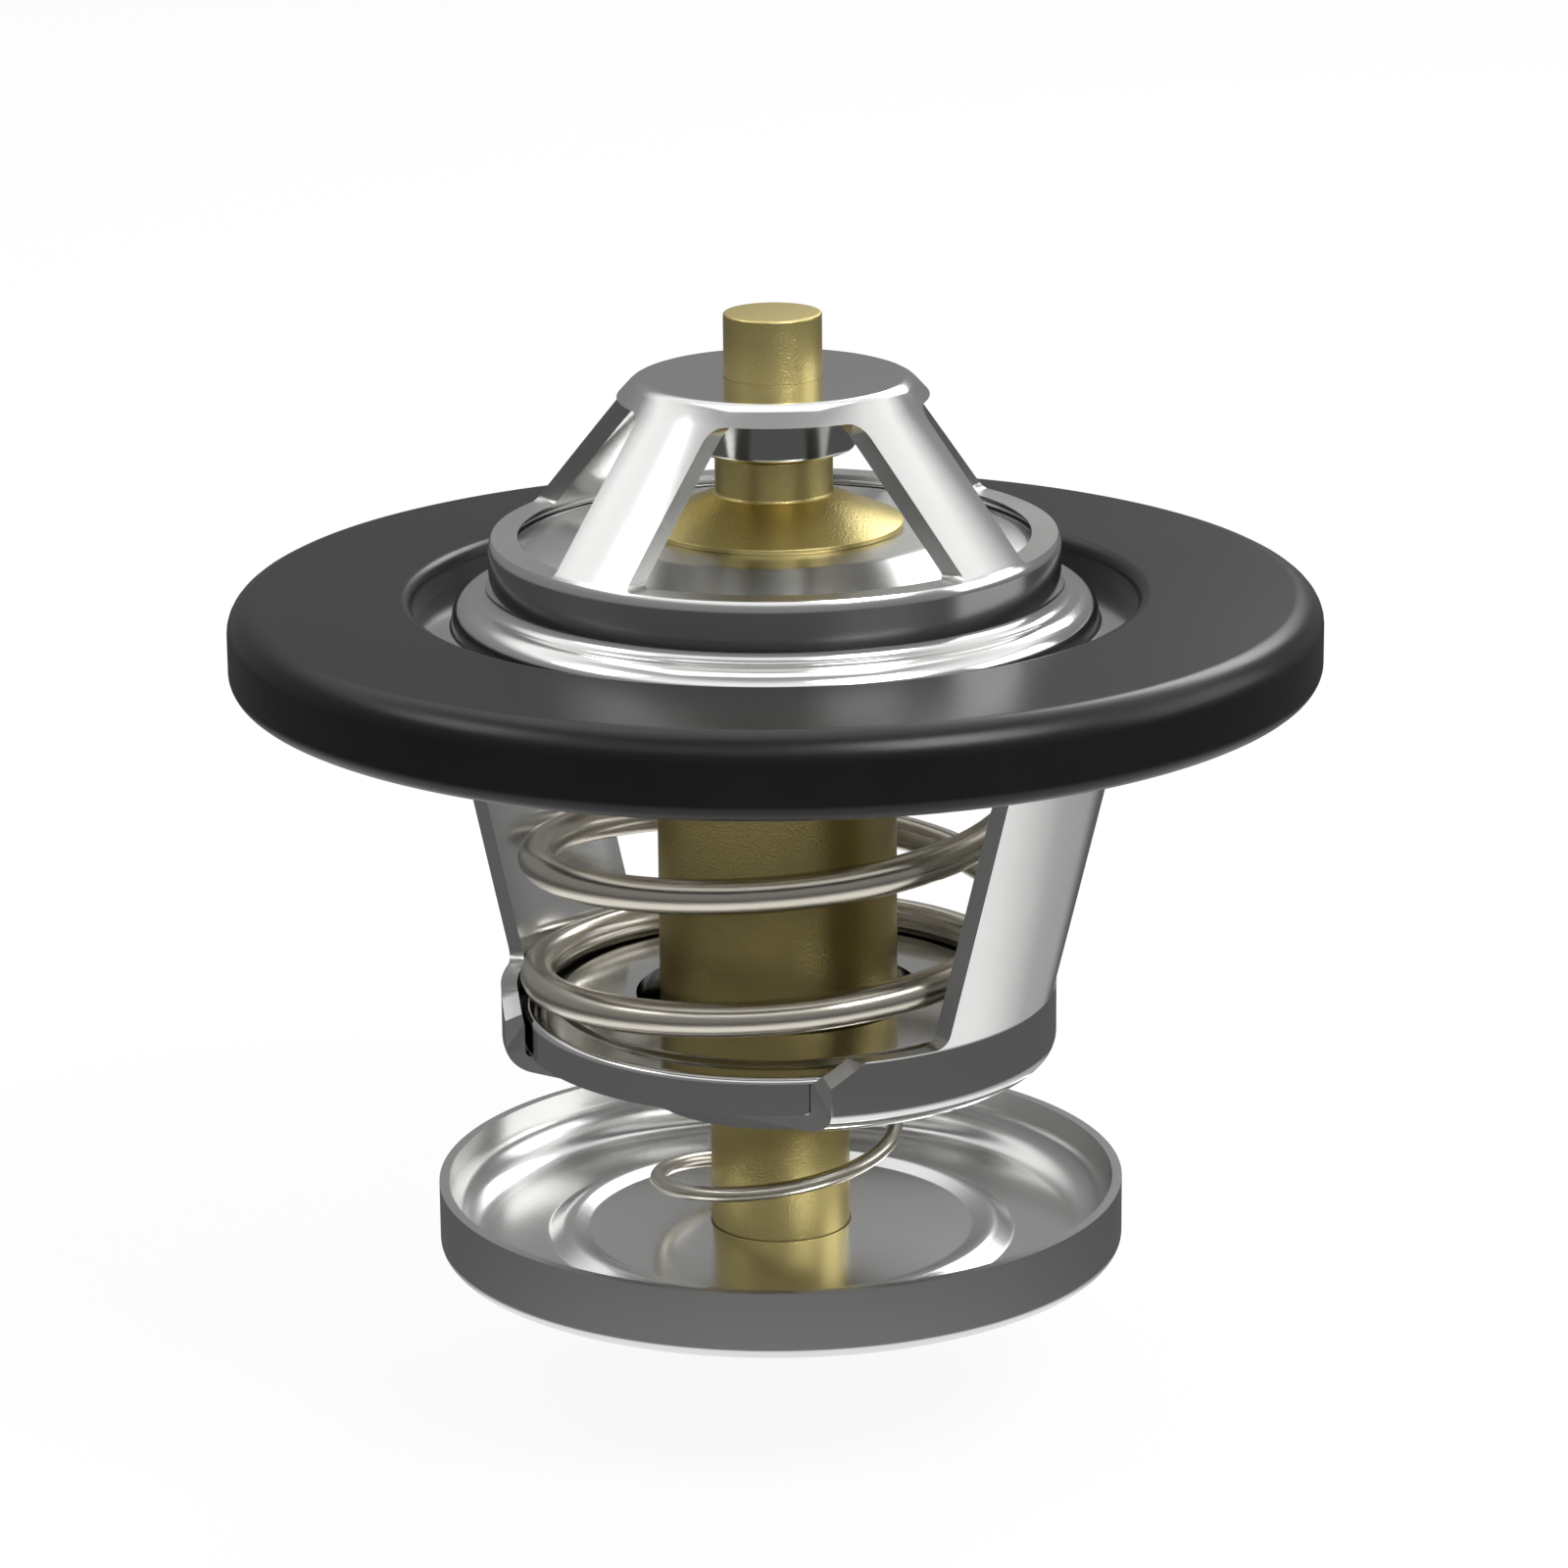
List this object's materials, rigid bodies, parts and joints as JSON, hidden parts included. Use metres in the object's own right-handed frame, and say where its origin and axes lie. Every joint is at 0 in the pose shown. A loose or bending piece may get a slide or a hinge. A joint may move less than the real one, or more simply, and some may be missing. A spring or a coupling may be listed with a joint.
{
  "type": "engine coolant thermostat",
  "caption": "Wax element coolant valve with a rubber seal ring, a windowed upper cage, a strap frame with a coil spring and a sprung bypass disc.",
  "frame": {"origin": "on the axis, at mid height of the seal ring", "axes": "+Z along the axis towards the calibration stud (the engine's outlet side); -Y is the side that the picture shows"},
  "size_m": [0.067, 0.067, 0.0594],
  "materials": {
    "seal_rubber": "moulded, matt with soft edge highlights",
    "boot_rubber": "moulded, matt",
    "sheet_steel": "pressed stainless sheet, near mirror bright",
    "bush_steel": "turned, dark",
    "piston_steel": "ground and polished",
    "spring_steel": "drawn wire, bright with a warm tone",
    "brass": "turned or drawn, satin",
    "wax": "plain"
  },
  "bodies": {
    "housing_side": {"seal_ring": "seal_rubber", "upper_bridge": "sheet_steel", "stud_bush": "bush_steel", "calibration_stud": "brass", "piston": "piston_steel", "lower_frame": "sheet_steel", "spring_retainer": "sheet_steel", "main_spring": "spring_steel"},
    "element": {"element_guide": "brass", "element_cup": "brass", "piston_boot": "boot_rubber", "wax_charge": "wax", "main_valve": "sheet_steel", "bypass_stem": "brass", "stem_clip": "spring_steel", "bypass_spring": "spring_steel"},
    "bypass": {"bypass_disc": "sheet_steel"}
  },
  "joints": [
    {"name": "element_stroke", "type": "slide", "parent": "housing_side", "child": "element", "axis": [0, 0, -1], "range_m": [0, 0.009], "stiffness_N_per_m": 3000, "springref_m": -0.013, "deforming": ["main_spring"]},
    {"name": "bypass_relief", "type": "slide", "parent": "element", "child": "bypass", "axis": [0, 0, 1], "range_m": [0, 0.005], "stiffness_N_per_m": 500, "springref_m": -0.006, "deforming": ["bypass_spring"]}
  ]
}
